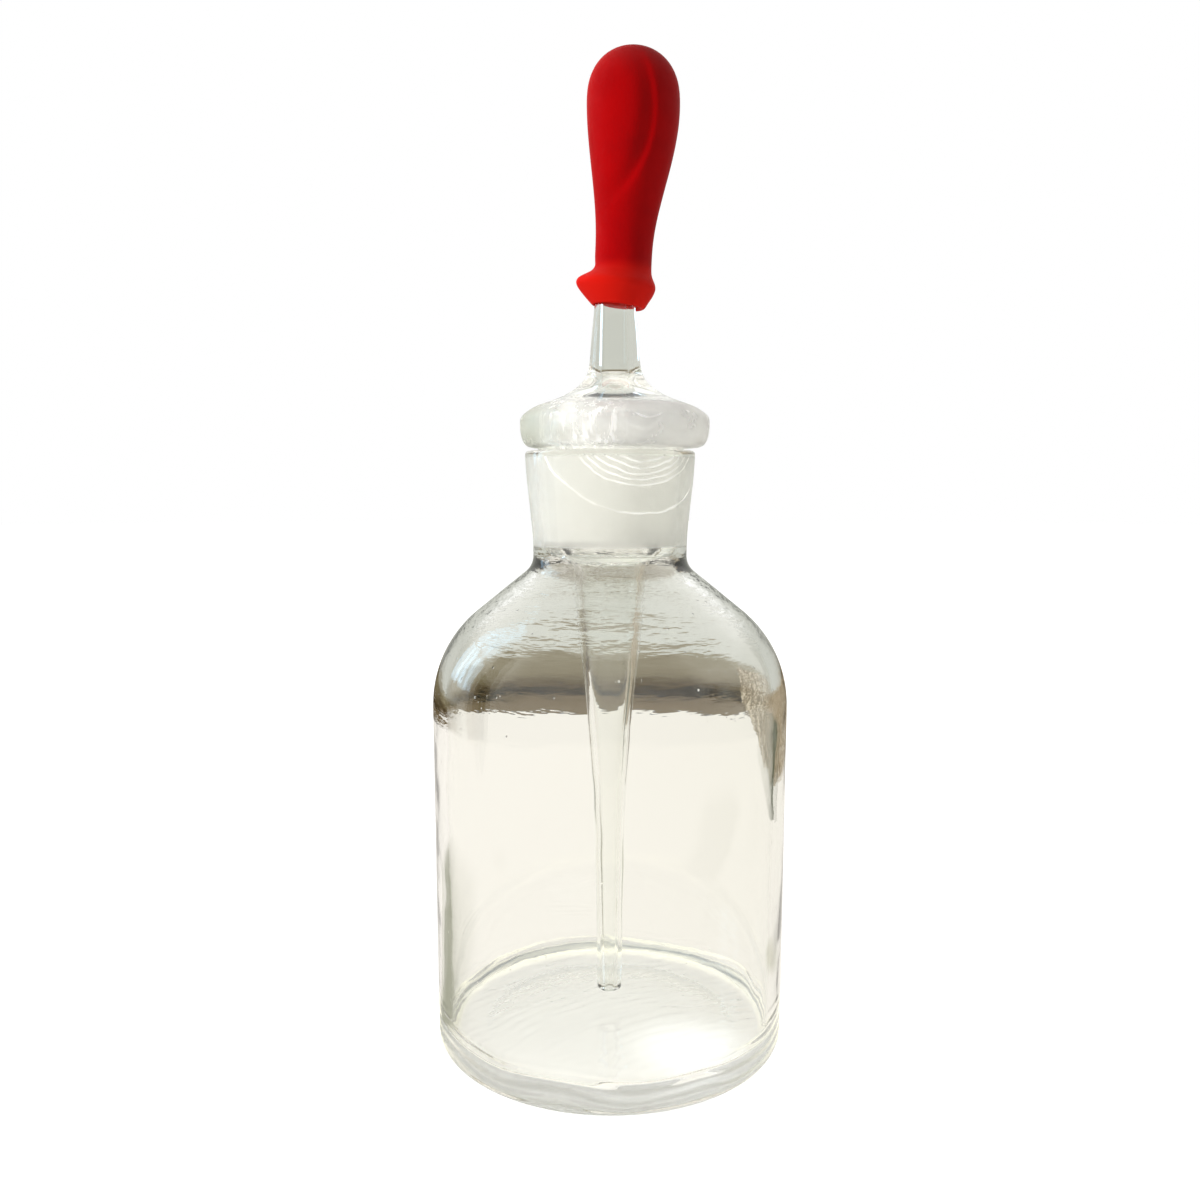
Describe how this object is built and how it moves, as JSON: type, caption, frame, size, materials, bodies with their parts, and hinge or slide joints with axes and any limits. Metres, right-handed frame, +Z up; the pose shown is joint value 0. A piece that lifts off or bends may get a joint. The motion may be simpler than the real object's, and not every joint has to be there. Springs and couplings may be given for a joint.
{
  "type": "dropping bottle with pipette filler bulb",
  "caption": "Round clear glass dropping bottle with a ground neck, a one-piece glass pipette stopper seated in it, and a red rubber bulb on the pipette's top end.",
  "frame": {"origin": "centre of the bottle's base, on the plane it stands on", "axes": "+Z up along the bottle's axis, -Y towards the viewer of the front, +X to the right, the way the bulb leans"},
  "size_m": [0.0576, 0.0576, 0.1593],
  "materials": {
    "bottle_glass": "clear moulded soda-lime glass, ground matt inside the neck",
    "stopper_glass": "clear blown glass, ground matt round the plug",
    "red_rubber": "smooth satin red rubber, slightly mottled"
  },
  "bodies": {
    "bottle": {"bottle": "bottle_glass"},
    "pipette": {"pipette_stopper": "stopper_glass"},
    "bulb": {"rubber_bulb": "red_rubber"},
    "squeeze_left": {"bulb_squeeze_wall_left": "red_rubber"},
    "squeeze_right": {"bulb_squeeze_wall_right": "red_rubber"}
  },
  "joints": [
    {"name": "dropper_lift", "type": "slide", "parent": "bottle", "child": "pipette", "axis": [0, 0, 1], "range_m": [0, 0.11]},
    {"name": "bulb_pull", "type": "slide", "parent": "pipette", "child": "bulb", "axis": [0, 0, 1], "range_m": [0, 0.02]},
    {"name": "bulb_squeeze", "type": "hinge", "parent": "bulb", "child": "squeeze_left", "pos_m": [-0.00335, 0, 0.13483], "axis": [0, 1, 0], "range_deg": [0, 14], "stiffness_Nm_per_rad": 0.3},
    {"name": "bulb_squeeze_other_side", "type": "hinge", "parent": "bulb", "child": "squeeze_right", "pos_m": [0.0052, 0, 0.13409], "axis": [0, -1, 0], "range_deg": [0, 14], "stiffness_Nm_per_rad": 0.3}
  ],
  "couplings": [
    {"joint": "bulb_squeeze_other_side", "follows": "bulb_squeeze", "ratio": 1}
  ]
}
